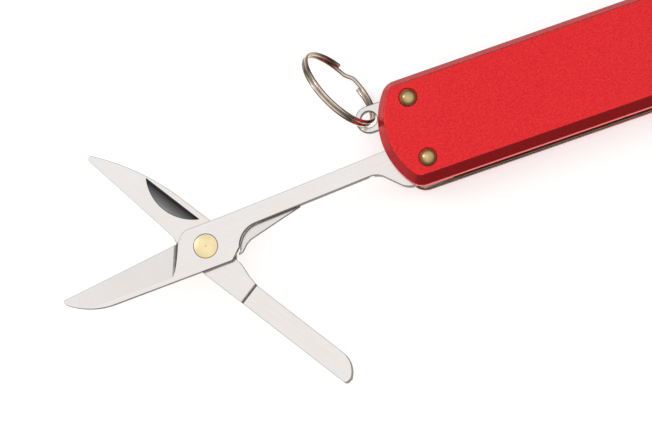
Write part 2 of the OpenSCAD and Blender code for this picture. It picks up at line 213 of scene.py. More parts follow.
def smooth_shading(piece, angle):
    """Smooth shading, with edges above the given angle in degrees kept sharp."""
    pick(piece)
    bpy.ops.object.shade_smooth_by_angle(angle=math.radians(angle))
    let_go()


def round_edges(piece, width, segments=2, angle=28, material=0, smooth=40, harden=True):
    """Breaks the sharp edges and gives the new faces their own finish; flat faces stay flat."""
    smooth_shading(piece, smooth)
    finishes = {}
    for polygon in piece.data.polygons:
        for key in polygon.edge_keys:
            finishes.setdefault(key, set()).add(polygon.material_index)
    for edge in piece.data.edges:
        if len(finishes.get(edge.key, ())) > 1:
            edge.use_edge_sharp = True
    apply_modifier(piece, "BEVEL", width=mm(width), segments=segments, limit_method="ANGLE",
                   angle_limit=math.radians(angle), use_clamp_overlap=False,
                   material=material, miter_outer="MITER_ARC", harden_normals=harden)


def fine_copy(node, name):
    """A copy of a frame node with its triangles merged back into whole faces."""
    pick(frame["nodes"][node])
    bpy.ops.object.duplicate(linked=False)
    piece = bpy.context.object
    piece.name = name
    piece.data.name = name
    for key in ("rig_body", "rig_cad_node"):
        if key in piece:
            del piece[key]
    piece.parent = None
    pick(piece)
    bpy.ops.object.mode_set(mode="EDIT")
    bpy.ops.mesh.select_all(action="SELECT")
    bpy.ops.mesh.remove_doubles(threshold=mm(0.0005))
    bpy.ops.mesh.dissolve_limited(angle_limit=math.radians(0.3))
    let_go()
    return piece


def plate(name, outline, low, high, place=Matrix.Identity(4)):
    """A flat plate with the given outline, between two heights."""
    let_go()
    bpy.ops.mesh.primitive_circle_add(vertices=len(outline), radius=1, fill_type="NGON")
    piece = bpy.context.object
    piece.name = name
    piece.data.name = name
    for vertex, (x, y) in zip(piece.data.vertices, outline):
        vertex.co = place @ Vector((x, y, low)) * MM
    bpy.ops.object.mode_set(mode="EDIT")
    bpy.ops.mesh.select_all(action="SELECT")
    bpy.ops.mesh.extrude_region_move(TRANSFORM_OT_translate={"value": (0, 0, mm(high - low))})
    bpy.ops.mesh.select_all(action="SELECT")
    bpy.ops.mesh.normals_make_consistent(inside=False)
    let_go()
    return piece


def block(low, high, place=Matrix.Identity(4)):
    """A box between two corners, for cutting or trimming."""
    let_go()
    low, high = Vector(low), Vector(high)
    bpy.ops.mesh.primitive_cube_add(size=1)
    piece = bpy.context.object
    piece.matrix_world = Matrix.Identity(4)
    for vertex in piece.data.vertices:
        share = vertex.co + Vector((0.5, 0.5, 0.5))
        vertex.co = Vector([low[i] + share[i] * (high[i] - low[i]) for i in range(3)])
    piece.data.transform(Matrix.Scale(MM, 4) @ place)
    return piece


def drum(radius, low, high, place=Matrix.Identity(4), sides=96):
    """An upright cylinder, for bores and bosses."""
    let_go()
    bpy.ops.mesh.primitive_cylinder_add(vertices=sides, radius=radius, depth=high - low)
    piece = bpy.context.object
    lift = Matrix.Translation((0, 0, (high + low) / 2))
    piece.data.transform(Matrix.Scale(MM, 4) @ place @ lift)
    return piece


def turned(name, profile, place=Matrix.Identity(4), sides=72):
    """A turned piece: the profile of (radius, height) pairs spun round its own Z axis."""
    let_go()
    bpy.ops.mesh.primitive_circle_add(vertices=len(profile), radius=1, fill_type="NOTHING")
    piece = bpy.context.object
    piece.name = name
    piece.data.name = name
    for vertex, (radius, height) in zip(piece.data.vertices, profile):
        vertex.co = (radius, 0, height)
    bpy.ops.object.mode_set(mode="EDIT")
    bpy.ops.mesh.select_all(action="SELECT")
    bpy.ops.mesh.spin(steps=sides, angle=math.tau, center=(0, 0, 0), axis=(0, 0, 1))
    bpy.ops.mesh.select_all(action="SELECT")
    bpy.ops.mesh.remove_doubles(threshold=0.0005)
    bpy.ops.mesh.normals_make_consistent(inside=False)
    let_go()
    piece.data.transform(Matrix.Scale(MM, 4) @ place)
    return piece


def join(name, pieces):
    """Joins pieces into the first of them, under a new name."""
    let_go()
    for piece in pieces:
        piece.select_set(True)
    bpy.context.view_layer.objects.active = pieces[0]
    bpy.ops.object.join()
    whole = bpy.context.object
    whole.name = name
    whole.data.name = name
    let_go()
    return whole


def arc(centre, radius, start, stop, steps=12):
    """Points along an arc between two angles in degrees, both ends included."""
    points = []
    for i in range(steps + 1):
        a = math.radians(start + (stop - start) * i / steps)
        points.append((centre[0] + radius * math.cos(a), centre[1] + radius * math.sin(a)))
    return points


def wear(piece, *materials):
    """Gives a piece its materials, in the order of its faces' material indices."""
    piece.data.materials.clear()
    for material in materials:
        piece.data.materials.append(material)


def finish_piece(piece, body, node):
    """Gives a piece its body and the node that it replaces, if any."""
    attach(piece, body)
    if node:
        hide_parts(node)


# ---------------------------------------------------------------- materials

def new_material(name, colour, metallic, roughness):
    """A material and its main shader."""
    material = bpy.data.materials.new(name)
    material.use_nodes = True
    shader = material.node_tree.nodes["Principled BSDF"]
    shader.inputs["Base Color"].default_value = (*colour, 1)
    shader.inputs["Metallic"].default_value = metallic
    shader.inputs["Roughness"].default_value = roughness
    return material, shader


def link(material, out, into):
    material.node_tree.links.new(out, into)


def own_place(material, origin=(0, 0, 0), degrees=0.0, unit=(1, 1, 1)):
    """The piece's own coordinates from an origin, turned about Z and in the given units."""
    nodes = material.node_tree.nodes
    place = nodes.new("ShaderNodeTexCoord")
    mapping = nodes.new("ShaderNodeMapping")
    mapping.vector_type = "TEXTURE"
    mapping.inputs["Location"].default_value = origin
    mapping.inputs["Rotation"].default_value = (0, 0, math.radians(degrees))
    mapping.inputs["Scale"].default_value = unit
    link(material, place.outputs["Object"], mapping.inputs["Vector"])
    return mapping.outputs["Vector"]


def pattern(material, scale, degrees=0.0, detail=3.0, roughness=0.5):
    """Noise over the piece's own coordinates; scale is in cells a metre along X, Y and Z."""
    place = own_place(material, degrees=degrees, unit=tuple(1 / s for s in scale))
    noise = material.node_tree.nodes.new("ShaderNodeTexNoise")
    noise.inputs["Scale"].default_value = 1
    noise.inputs["Detail"].default_value = detail
    noise.inputs["Roughness"].default_value = roughness
    link(material, place, noise.inputs["Vector"])
    return noise.outputs["Fac"]


def set_stops(node, stops):
    """Fills a colour ramp; stops are (place, colour) pairs, a colour being a number or three."""
    while len(node.color_ramp.elements) < len(stops):
        node.color_ramp.elements.new(0.5)
    for element, (place, colour) in zip(node.color_ramp.elements, stops):
        element.position = place
        element.color = (colour, colour, colour, 1) if isinstance(colour, float) else (*colour, 1)


def ramp(material, source, stops):
    """A source sent through a colour ramp."""
    node = material.node_tree.nodes.new("ShaderNodeValToRGB")
    set_stops(node, stops)
    link(material, source, node.inputs["Fac"])
    return node.outputs["Color"]


def blend_colours(material, mode, share, first, second):
    """Blends two colours, each a socket or a tuple, by a share, a socket or a number."""
    node = material.node_tree.nodes.new("ShaderNodeMix")
    node.data_type = "RGBA"
    node.blend_type = mode
    if isinstance(share, float):
        node.inputs["Factor"].default_value = share
    else:
        link(material, share, node.inputs["Factor"])
    for socket, value in ((node.inputs[6], first), (node.inputs[7], second)):
        if isinstance(value, tuple):
            socket.default_value = (*value, 1)
        else:
            link(material, value, socket)
    return node.outputs[2]


def stain(material, source, stops, under, over):
    """A colour laid over another where a pattern, through a ramp, is bright."""
    return blend_colours(material, "MIX", ramp(material, source, stops), under, over)


def bump(material, shader, source, strength, depth):
    """Relief of the given depth in millimetres, over any bump already there."""
    node = material.node_tree.nodes.new("ShaderNodeBump")
    node.inputs["Strength"].default_value = strength
    node.inputs["Distance"].default_value = mm(depth)
    link(material, source, node.inputs["Height"])
    if shader.inputs["Normal"].is_linked:
        before = shader.inputs["Normal"].links[0].from_socket
        link(material, before, node.inputs["Normal"])
    link(material, node.outputs["Normal"], shader.inputs["Normal"])


def satin_steel(name, degrees, tint=(0.86, 0.84, 0.83), low=0.16, high=0.26):
    """Ground stainless steel with fine lines along the given direction and faint smudges."""
    material, shader = new_material(name, tint, 1.0, 0.22)
    lines = pattern(material, (180, 6500, 180), degrees, 4, 0.6)
    cloud = pattern(material, (110, 110, 110), degrees + 30, 3, 0.55)
    speck = pattern(material, (900, 1300, 900), degrees, 2, 0.5)
    dark = tuple(0.93 * c for c in tint)
    warm = (tint[0], tint[1] * 0.965, tint[2] * 0.945)
    shade = stain(material, cloud, [(0.35, 0.0), (0.68, 1.0)], tint, warm)
    shade = stain(material, lines, [(0.42, 0.0), (0.75, 0.5)], shade, dark)
    shade = stain(material, speck, [(0.68, 0.0), (0.8, 0.35)], shade, dark)
    link(material, shade, shader.inputs["Base Color"])
    link(material, ramp(material, lines, [(0.3, low), (0.7, high)]), shader.inputs["Roughness"])
    bump(material, shader, lines, 0.25, 0.004)
    return material


def dull_shaded_steel(name, tint=(0.17, 0.15, 0.13), roughness=0.42):
    """Dull grainy steel; its dark tint is painted shade on walls, outlines, gaps and run-outs."""
    material, shader = new_material(name, tint, 1.0, roughness)
    grain = pattern(material, (2200, 2200, 700), 0, 3, 0.6)
    link(material, ramp(material, grain, [(0.3, tuple(0.7 * c for c in tint)),
                                          (0.75, tuple(1.35 * c for c in tint))]),
         shader.inputs["Base Color"])
    bump(material, shader, grain, 0.4, 0.01)
    return material


def blasted_red(name, bright=(0.95, 0.046, 0.05), deep=(0.78, 0.018, 0.028)):
    """Bead-blasted aluminium, dyed red: fine mottling in colour, gloss and relief."""
    material, shader = new_material(name, bright, 0.9, 0.4)
    grain = pattern(material, (3600, 3600, 3600), 17, 4, 0.65)
    patch = pattern(material, (900, 900, 900), 40, 3, 0.6)
    drift = pattern(material, (28, 28, 28), 0, 2, 0.5)
    shade = stain(material, grain, [(0.36, 0.0), (0.66, 1.0)], bright, deep)
    shade = stain(material, patch, [(0.45, 0.0), (0.85, 0.3)], shade, deep)
    shade = stain(material, drift, [(0.4, 0.0), (0.7, 0.25)], shade, (0.97, 0.062, 0.062))
    link(material, shade, shader.inputs["Base Color"])
    link(material, ramp(material, grain, [(0.3, 0.34), (0.7, 0.46)]), shader.inputs["Roughness"])
    bump(material, shader, grain, 0.35, 0.02)
    return material


def plain_metal(name, colour, low, high, scale=900, depth=0.006, mark=0.8):
    """Polished or plain metal with a thin, uneven tarnish."""
    material, shader = new_material(name, colour, 1.0, (low + high) / 2)
    tarnish = pattern(material, (scale, scale, scale), 25, 4, 0.6)
    dark = tuple(mark * c for c in colour)
    link(material, ramp(material, tarnish, [(0.38, colour), (0.72, dark)]),
         shader.inputs["Base Color"])
    link(material, ramp(material, tarnish, [(0.3, low), (0.75, high)]),
         shader.inputs["Roughness"])
    bump(material, shader, tarnish, 0.3, depth)
    return material


def turned_brass(name, centre, colour=(1.0, 0.84, 0.5)):
    """Faced brass with the tool's fine rings round the given centre."""
    material, shader = new_material(name, colour, 1.0, 0.28)
    rings = material.node_tree.nodes.new("ShaderNodeTexWave")
    rings.wave_type = "RINGS"
    rings.rings_direction = "Z"
    rings.inputs["Scale"].default_value = 1700
    rings.inputs["Distortion"].default_value = 0.6
    rings.inputs["Detail"].default_value = 2
    link(material, own_place(material, centre), rings.inputs["Vector"])
    patch = pattern(material, (700, 700, 700), 10, 3, 0.6)
    deep = tuple(0.9 * c for c in colour)
    shade = stain(material, patch, [(0.4, 0.0), (0.75, 0.8)], colour, deep)
    link(material, shade, shader.inputs["Base Color"])
    link(material, ramp(material, rings.outputs["Fac"], [(0.0, 0.24), (1.0, 0.34)]),
         shader.inputs["Roughness"])
    bump(material, shader, rings.outputs["Fac"], 0.25, 0.004)
    return material


def shaded_nick(name, degrees, origin, back, front):
    """Milled floor of a nail nick with painted shade: near black at its deep straight side, grey at
    its arc.
    """
    material, shader = new_material(name, (0.1, 0.1, 0.1), 0.9, 0.38)
    nodes = material.node_tree.nodes
    split = nodes.new("ShaderNodeSeparateXYZ")
    reach = nodes.new("ShaderNodeMapRange")
    reach.inputs["From Min"].default_value = back
    reach.inputs["From Max"].default_value = front
    link(material, own_place(material, origin, degrees, (MM, MM, MM)), split.inputs["Vector"])
    link(material, split.outputs["Y"], reach.inputs["Value"])
    shade = ramp(material, reach.outputs["Result"],
                 [(0.0, (0.006, 0.006, 0.006)), (0.14, (0.034, 0.034, 0.036)),
                  (0.55, (0.17, 0.17, 0.172)), (1.0, (0.36, 0.36, 0.362))])
    lines = pattern(material, (250, 4200, 250), degrees, 3, 0.6)
    shade = blend_colours(material, "MULTIPLY", 0.5, shade,
                          ramp(material, lines, [(0.3, 0.55), (0.7, 1.0)]))
    link(material, shade, shader.inputs["Base Color"])
    bump(material, shader, lines, 0.3, 0.008)
    return material


LEVER_TURN = DROOP - OPEN_ANGLE
pin_place = PIN_FRAME @ Vector((0, 0, 0)) * MM
lever_origin = LEVER_FRAME @ Vector((0, 0, 0)) * MM

red = blasted_red("blasted_red_aluminium")
red_edge = blasted_red("rubbed_red_edge", (0.86, 0.10, 0.09), (0.74, 0.03, 0.035))
# Near-black copy of the red for the back cover's walls and edges: painted shade.
painted_shade_red = blasted_red("painted_shade_red_band", (0.12, 0.035, 0.02), (0.06, 0.02, 0.012))
# Grinding run-outs: duller, rougher steel, and a darker tint that is painted shade.
run_out_steel = dull_shaded_steel("run_out_steel_with_painted_shade", (0.36, 0.35, 0.34), 0.5)
arm_steel = satin_steel("satin_arm_steel", DROOP)
arm_ground = satin_steel("cross_ground_blade_steel", DROOP + 78, (0.83, 0.81, 0.80))
lever_steel = satin_steel("satin_lever_steel", LEVER_TURN)
knife_steel = satin_steel("satin_knife_steel", 0)
lug_steel = satin_steel("satin_lug_steel", 60, (0.80, 0.80, 0.81), 0.12, 0.2)
leaf_steel = satin_steel("leaf_spring_steel", 12, (0.78, 0.78, 0.78), 0.14, 0.22)
# Dark brown tint of the liners and lug spacers: painted shade in the slot.
liner_steel = satin_steel("rolled_liner_steel_painted_shade", 0, (0.34, 0.25, 0.17), 0.26, 0.38)
# Walls and edge roundings of the steel parts: the dark tint is painted shade, drawing dark outlines
# and gap shadows.
shaded_edge_steel = dull_shaded_steel("painted_shade_steel_edge")
# Near-black tint of the back spring: painted shade of the slot between the covers.
slot_shade_steel = dull_shaded_steel("painted_shade_spring_plate", (0.07, 0.045, 0.03), 0.5)
dome_brass = plain_metal("rubbed_rivet_brass", (0.76, 0.56, 0.27), 0.22, 0.34, 700, 0.01, 0.72)
pin_brass = turned_brass("faced_pin_brass", pin_place)
burr_brass = plain_metal("hammered_burr_brass", (0.84, 0.66, 0.36), 0.28, 0.42, 1100, 0.02)
bronze = plain_metal("plain_bronze", (0.70, 0.46, 0.26), 0.3, 0.42)
wire_nickel = plain_metal("bright_nickel_wire", (0.80, 0.70, 0.60), 0.1, 0.2, 500, 0.004, 0.86)
lever_nick_dark = shaded_nick("shaded_scissors_nick", LEVER_TURN, lever_origin, 2.9, 0.55)
knife_nick_dark = shaded_nick("shaded_knife_nick", 0, (0, 0, 0), KNIFE_NICK[1], 5.9)


# ---------------------------------------------------------------- handle

def tag_walls(piece, wall_slot, steepness=0.45):
    """Gives the upright faces the wall material, a darker one that paints shade on them."""
    for polygon in piece.data.polygons:
        if abs(polygon.normal.z) < steepness:
            polygon.material_index = wall_slot


def cover_outline(inset):
    """The handle's outline: large arcs at the ends, small ones at the corners."""
    cap_x = HALF_LENGTH - END_R
    corner_y = HALF_WIDTH - CORNER_R
    corner_x = cap_x + math.sqrt((END_R - CORNER_R) ** 2 - corner_y ** 2)
    turn = math.degrees(math.atan2(corner_y, corner_x - cap_x))
    points = []
    for quarter, side in ((0, 1), (180, -1)):
        points += arc((side * cap_x, 0), END_R - inset, quarter - turn, quarter + turn, 56)
        points += arc((side * corner_x, side * corner_y), CORNER_R - inset,
                      quarter + turn, quarter + 90, 14)[1:]
        points += arc((-side * corner_x, side * corner_y), CORNER_R - inset,
                      quarter + 90, quarter + 180 - turn, 14)[:-1]
    return points


def make_cover(name):
    """A bevelled cover, inner face down on z = 0."""
    lower, upper = cover_outline(0), cover_outline(BEVEL_WIDTH)
    cover = plate(name, lower, 0, BAND_HEIGHT)
    pick(cover)
    bpy.ops.object.mode_set(mode="EDIT")
    bpy.ops.mesh.select_mode(type="FACE")
    bpy.ops.mesh.select_all(action="DESELECT")
    bpy.ops.object.mode_set(mode="OBJECT")
    for polygon in cover.data.polygons:
        polygon.select = polygon.normal.z > 0.9
    bpy.ops.object.mode_set(mode="EDIT")
    bpy.ops.mesh.extrude_region_move(
        TRANSFORM_OT_translate={"value": (0, 0, mm(BEVEL_HEIGHT))})
    bpy.ops.object.mode_set(mode="OBJECT")
    bpy.context.tool_settings.mesh_select_mode = (True, False, False)
    for vertex in cover.data.vertices:
        if vertex.co.z > mm(COVER_THICKNESS - 0.6):
            near = min(range(len(lower)), key=lambda i: (
                (lower[i][0] * MM - vertex.co.x) ** 2 + (lower[i][1] * MM - vertex.co.y) ** 2))
            vertex.co.x, vertex.co.y = (value * MM for value in upper[near])
    reach = HALF_WIDTH + NOTCH_R - NOTCH_DEPTH
    for spot in ((SCISSORS_NOTCH_X, -reach, 0), (KNIFE_NOTCH_X, reach, 0)):
        boolean(cover, drum(NOTCH_R, -1, 5, Matrix.Translation(spot), 200))
    for x, y in RIVETS:
        spot = Matrix.Translation((x, y, 0))
        boolean(cover, drum(SHANK_R, -1, 5, spot, 64))
        boolean(cover, drum(DOME_R + SEAT_GAP, COVER_THICKNESS - SEAT_DEPTH, 5, spot, 64))
    return cover


for node, name, band, place in (
    ("front_scale", "front_cover", red_edge, Matrix.Translation((0, 0, mm(FRONT_COVER_Z)))),
    ("back_scale", "back_cover", painted_shade_red,
     Matrix.Translation((0, 0, mm(COVER_THICKNESS))) @ Matrix.Scale(-1, 4, (0, 0, 1))),
):
    cover = make_cover(name)
    cover.data.transform(place)
    face_outwards(cover)
    wear(cover, red, band)
    # Painted shade: the back cover's walls take the near-black red.
    if node == "back_scale":
        tag_walls(cover, 1, 0.2)
    round_edges(cover, 0.12, 3, 22, material=1, smooth=18, harden=False)
    for polygon in cover.data.polygons:
        rise = abs(polygon.normal.z)
        if min(rise, 1 - rise, abs(rise - SLOPE_RISE)) < 0.012:
            polygon.use_smooth = False
    finish_piece(cover, "handle", node)


def head_profile(tail_r, tail_depth):
    """Domed head over z = 0 with its rim down in the seat and a shank below."""
    points = [(0, DOME_HEIGHT)]
    steps = 12
    widest = math.asin((DOME_R - 0.02) / DOME_CURVE)
    for i in range(1, steps + 1):
        a = widest * i / steps
        points.append((DOME_CURVE * math.sin(a), DOME_HEIGHT - DOME_CURVE * (1 - math.cos(a))))
    points += [(DOME_R - 0.005, -0.01), (DOME_R, -0.05), (DOME_R, -SEAT_DEPTH)]
    points += [(tail_r, -SEAT_DEPTH), (tail_r, -tail_depth), (0, -tail_depth)]
    return points


for node, name, profile, place in (
    ("rivets", "rivet_pins", head_profile(SHANK_R, TOP_Z - 1.7),
     Matrix.Translation((0, 0, TOP_Z))),
    ("rivet_caps", "rivet_buttons", head_profile(CAP_SOCKET_R, CAP_SOCKET_DEPTH),
     Matrix.Rotation(math.pi, 4, "X")),
):
    heads = join(name, [turned("head", profile, Matrix.Translation((x, y, 0)) @ place)
                        for x, y in RIVETS])
    smooth_shading(heads, 45)
    wear(heads, dome_brass)
    finish_piece(heads, "handle", node)

# The liners' dark brown tint and the back spring's near black are painted shade in the slot.
for node, name, width, finish in (
    ("front_liner", "front_lining", 0.05, liner_steel),
    ("back_liner", "back_lining", 0.05, liner_steel),
    ("spring_plate", "back_spring", 0.06, slot_shade_steel),
):
    sheet = fine_copy(node, name)
    wear(sheet, finish)
    round_edges(sheet, width)
    finish_piece(sheet, "handle", node)

lug = fine_copy("ring_lug", "key_lug")
wear(lug, lug_steel, shaded_edge_steel)
# Painted shade: the lug's walls and eye go dark, and its edge roundings draw a dark outline.
tag_walls(lug, 1)
round_edges(lug, 0.12, 3, material=1)
finish_piece(lug, "handle", "ring_lug")


# ---------------------------------------------------------------- scissors

def arm_outline():
    """The fixed half, anticlockwise from the tang's lower right, in the arm's frame."""
    pin = -ARM_REACH
    tip = pin - BLADE_LENGTH
    top = TOOL_HALF - 0.15
    recess_x, recess_r = 9.3, 4.26
    flare_x, flare_drop, flare_turn, flare_r = 10.4, 4.1, 46, 3.1
    edge_slope = math.degrees(math.atan2(EDGE_ROOT + 0.1, BLADE_LENGTH - SHOULDER_X))
    root_low = NECK_LOW + (ARM_REACH - recess_x - flare_x) * math.tan(math.radians(1.3))
    flare_end = (flare_drop / math.tan(math.radians(flare_turn))
                 + 2 * flare_r * math.tan(math.radians(flare_turn / 2)))
    points = arc((0, 0), TANG_R, -55.6, 90, 36)
    points += [(-4, TANG_R), (pin + recess_x - 5.7, top)]
    points += arc((pin - 2, top - 1.9), 1.9, 90, 155, 8)
    points += [(pin - 4.7, EDGE_ROOT)]
    points += arc((tip + 0.35, -0.42), 0.35, 90 - edge_slope, 205, 8)
    points += arc((tip + 8.2, 12.5 - TOOL_HALF), 12.5, 231, 270, 16)
    points += arc((pin + 3.2, 0.7 - TOOL_HALF), 0.7, 270, 325, 8)
    points += arc((pin + recess_x, NECK_LOW - recess_r), recess_r, 162, 90, 16)
    points += arc((-flare_x, root_low - flare_r), flare_r, 90, 90 - flare_turn, 10)
    points += arc((-flare_x + flare_end, root_low - flare_drop + flare_r), flare_r,
                  270 - flare_turn, 270, 10)
    points += arc((0, 0), TANG_R, 220, 235.6, 4) + [(0, -3.67)]
    return points


def wheel(fillet):
    """A cutter that lies on z = 0 with its front on x = 0, and a round lower front edge."""
    cutter = block((-60, -60, 0), (0, 60, 8))
    for vertex in cutter.data.vertices:
        vertex.select = abs(vertex.co.x) < 1e-7 and abs(vertex.co.z) < 1e-7
    for edge in cutter.data.edges:
        edge.select = all(cutter.data.vertices[i].select for i in edge.vertices)
    for polygon in cutter.data.polygons:
        polygon.select = False
    pick(cutter)
    bpy.context.tool_settings.mesh_select_mode = (False, True, False)
    bpy.ops.object.mode_set(mode="EDIT")
    bpy.ops.mesh.bevel(offset=mm(fillet), segments=8, profile=0.5, affect="EDGES")
    bpy.ops.object.mode_set(mode="OBJECT")
    bpy.context.tool_settings.mesh_select_mode = (True, False, False)
    face_outwards(cutter)
    return cutter


def grinding_cut(place, slant, back_y, depth, slope, fillet, mirrored=False):
    """Cutter for a ground face left of a slanted shoulder, where it ends in a round run-out."""
    cutter = wheel(fillet)
    tilt = Matrix.Rotation(math.radians(-slope), 4, "X")
    seat = Matrix.Translation((0, back_y, -depth))
    run = Matrix.Rotation(math.radians(slant), 4, "Z")
    flip = Matrix.Rotation(math.pi, 4, "X") if mirrored else Matrix.Identity(4)
    local = place @ flip @ seat @ tilt @ Matrix.Translation((0, -back_y, 0)) @ run
    cutter.data.transform(Matrix.Scale(MM, 4) @ local @ Matrix.Scale(1 / MM, 4))
    return cutter


def make_arm():
    """The fixed half: thin under the lever's place, with a ground blade and a seat for the pin."""
    arm = plate("fixed_scissor_half", arm_outline(), TOOL_Z, TOOL_TOP, ARM_FRAME)
    boolean(arm, block((-80, -12, 0), (-THIN_FROM_X, 12, FRONT_HALF_Z), ARM_FRAME))
    boolean(arm, drum(TANG_BORE_R, 3, 8, ARM_FRAME))
    boolean(arm, drum(1.3, 3, 8, PIN_FRAME))
    boolean(arm, drum(2.06, TOOL_TOP - PIN_HEAD_DEPTH, 8, PIN_FRAME))
    shoulder = PIN_FRAME @ Matrix.Translation((-SHOULDER_X, EDGE_ROOT, TOOL_TOP))
    boolean(arm, grinding_cut(shoulder, -21, -5.2, 0, 7.2, 0.8))
    face_outwards(arm)
    wear(arm, arm_steel, shaded_edge_steel, arm_ground, run_out_steel)
    # Painted shade: dark walls and edge roundings stand in for the shade in the gaps between the
    # halves.
    tag_walls(arm, 1)
    # Ground blade faces; the run-out ramps take the darker steel, which paints their shade.
    for polygon in arm.data.polygons:
        centre = PIN_FRAME.inverted() @ (polygon.center / MM)
        if 0.45 < polygon.normal.z < 0.9999 and centre.x < -3.5:
            polygon.material_index = 2 if polygon.normal.z > 0.985 else 3
    round_edges(arm, 0.06, 2, 24, material=1)
    finish_piece(arm, "scissors", "scissors_arm")


def lever_outline():
    """The moving half, clockwise from the edge's root, in the lever's frame."""
    back = TOOL_HALF - 0.05
    points = [(-5.5, -2.15)]
    points += arc((-MOVING_BLADE + 0.6, -0.2), 0.6, 250, 112, 10)
    points += arc((-MOVING_BLADE + 17.2, back - 42), 42, 113, 90, 24)
    points += [(0, back), (2.5, back - 0.3), (4.2, 2.6), (4.9, 1.9), (5.3, 1.35), (6.1, 1.33),
               (7.2, 1.05), (8.7, 0.5), (STEP_X, 0)]
    points += arc((LEVER_LENGTH - 4, -4.2), 4.2, 90, 22, 10)
    points += arc((LEVER_LENGTH - 0.75, 0.55 - back), 0.55, 0, -90, 6)
    points += [(0, -back), (-3.2, 0.5 - back)]
    return points


def nail_nick(place):
    """Cutter for a nail nick, deepest along its straight side on y = 0."""
    radius = ((NICK_LENGTH / 2) ** 2 + NICK_DEPTH ** 2) / (2 * NICK_DEPTH)
    lean = place @ Matrix.Rotation(math.radians(-NICK_TILT), 4, "X")
    cutter = drum(radius, -NICK_FLOOR, 3 * NICK_FLOOR,
                  lean @ Matrix.Translation((0, radius - NICK_DEPTH, 0)), 160)
    side = block((-NICK_LENGTH, -2 * NICK_DEPTH, -2 * NICK_FLOOR),
                 (NICK_LENGTH, 0, 4 * NICK_FLOOR), lean)
    boolean(cutter, side, "INTERSECT")
    return cutter


def tag_nick(piece, place, slot):
    """Gives the floor and walls of a nail nick the nick's material, which paints their shade."""
    back = place.inverted()
    for polygon in piece.data.polygons:
        spot = back @ (polygon.center / MM)
        inside = abs(spot.x) < NICK_LENGTH / 2 and -NICK_DEPTH - 0.05 < spot.y < 0.06
        if inside and spot.z < -0.004:
            polygon.material_index = slot


def make_lever():
    """The moving half: thin behind the step, with a nail nick, a ground back and the pin's bores."""
    lever = plate("moving_scissor_half", lever_outline(), TOOL_Z, TOOL_TOP, LEVER_FRAME)
    step = wheel(0.85)
    step.data.transform(Matrix.Scale(MM, 4) @ LEVER_FRAME @ Matrix.Translation(
        (STEP_X, 0, LEVER_TOP)) @ Matrix.Scale(1 / MM, 4))
    boolean(lever, step)
    boolean(lever, drum(1.33, 3, 8, LEVER_FRAME))
    boolean(lever, drum(2.08, 3, TOOL_Z + PIN_HEAD_DEPTH, LEVER_FRAME))
    nick = LEVER_FRAME @ Matrix.Translation((*LEVER_NICK, LEVER_TOP))
    boolean(lever, nail_nick(nick))
    shoulder = LEVER_FRAME @ Matrix.Translation((-7, 0, TOOL_Z))
    boolean(lever, grinding_cut(shoulder, -12, -TOOL_HALF, 0.12, 6, 0.6, True))
    face_outwards(lever)
    wear(lever, lever_steel, shaded_edge_steel, lever_nick_dark, run_out_steel)
    # Painted shade: dark walls and edge roundings stand in for the shade in the gaps between the
    # halves.
    tag_walls(lever, 1)
    # The run-out ramps take the darker steel, which paints their shade.
    for polygon in lever.data.polygons:
        if 0.45 < polygon.normal.z < 0.985:
            polygon.material_index = 3
    tag_nick(lever, nick, 2)
    round_edges(lever, 0.06, 2, 24, material=1)
    finish_piece(lever, "lever", "scissors_lever")


make_arm()
make_lever()

pin = turned("scissor_pin", [
    (0, TOOL_TOP - 0.06), (0.1, TOOL_TOP - 0.05), (0.17, TOOL_TOP), (PIN_HEAD_R - 0.07, TOOL_TOP),
    (PIN_HEAD_R - 0.02, TOOL_TOP - 0.02), (PIN_HEAD_R, TOOL_TOP - 0.07),
    (PIN_HEAD_R, TOOL_TOP - PIN_HEAD_DEPTH), (PIN_R, TOOL_TOP - PIN_HEAD_DEPTH),
    (PIN_R, TOOL_Z + PIN_HEAD_DEPTH), (0, TOOL_Z + PIN_HEAD_DEPTH),
], PIN_FRAME, 96)
smooth_shading(pin, 35)
wear(pin, pin_brass)
finish_piece(pin, "scissors", "scissors_pin")

burr = turned("scissor_pin_burr", [
    (0, TOOL_Z + 0.38), (BURR_R, TOOL_Z + 0.38), (BURR_R, TOOL_Z + 0.08), (1.95, TOOL_Z + 0.02),
    (1.75, TOOL_Z), (0.7, TOOL_Z), (0.5, TOOL_Z + 0.07), (0, TOOL_Z + 0.1),
], PIN_FRAME, 96)
smooth_shading(burr, 35)
wear(burr, burr_brass)
finish_piece(burr, "scissors", "pin_burr")

# Leaf spring: its root and its leaf both ride with the arm; the real leaf flattens up behind the
# neck as the lever shuts, but here it is a fixed plate.
root = plate("spring_root", [
    (17, NECK_LOW + 0.25), (29.7, NECK_LOW + 0.55), (29.7, NECK_LOW + NECK_WIDTH + 0.2),
    (17, NECK_LOW + NECK_WIDTH),
], TOOL_Z, LEVER_TOP, PIN_FRAME)
leaf = plate("spring_leaf", [
    (4.6, -3.1), (5.4, -2.95), (5.9, -2.5), (6.5, -1.9), (7.4, -1.4), (12.5, -0.18),
    (17.1, 0.85), (17.1, 2.3), (12.5, 1.6), (8.4, 1.0), (7.2, 0.5), (6.3, -0.15), (5.5, -1.3),
    (5.1, -2.5),
], TOOL_Z, TOOL_Z + 0.75, PIN_FRAME)
for spring in (root, leaf):
    wear(spring, leaf_steel, shaded_edge_steel)
    # Painted shade: dark walls and edge roundings on the spring.
    tag_walls(spring, 1)
    round_edges(spring, 0.07, 2, 28, material=1)
finish_piece(root, "scissors", "scissors_spring")
finish_piece(leaf, "scissors", None)
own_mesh(leaf)


# ---------------------------------------------------------------- knife blade

knife = fine_copy("knife_blade", "clip_knife")
wear(knife, knife_steel, shaded_edge_steel, knife_nick_dark)
# Painted shade: dark walls and edge roundings on the blade.
tag_walls(knife, 1)
tag_nick(knife, Matrix.Translation((*KNIFE_NICK, TOOL_TOP)), 2)
round_edges(knife, 0.04)
finish_piece(knife, "knife", "knife_blade")


# ---------------------------------------------------------------- split ring

